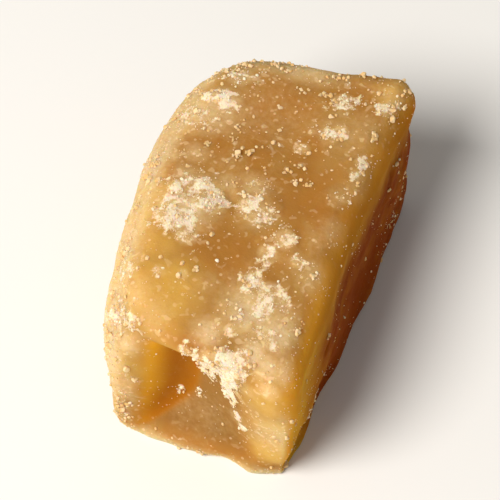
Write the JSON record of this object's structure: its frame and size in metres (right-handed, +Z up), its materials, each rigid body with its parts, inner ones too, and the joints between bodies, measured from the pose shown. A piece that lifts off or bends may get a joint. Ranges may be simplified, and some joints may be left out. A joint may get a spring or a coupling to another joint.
{
  "type": "jaggery block",
  "caption": "Small moulded block of golden-brown jaggery, a tapered bar with rounded worn edges, a sunken open end, crusts of pale sugar bloom and clinging sugar grains.",
  "frame": {"origin": "middle of the bounding box at the level of the flat underside", "axes": "+Z up out of the underside, +Y along the length from the sunken open end to the closed end, +X across the width"},
  "size_m": [0.0308, 0.0504, 0.0282],
  "materials": {
    "jaggery": "waxy, slightly translucent golden-brown sugar with pale crystalline bloom"
  },
  "bodies": {
    "root": {"jaggery_block": "jaggery"}
  },
  "joints": []
}
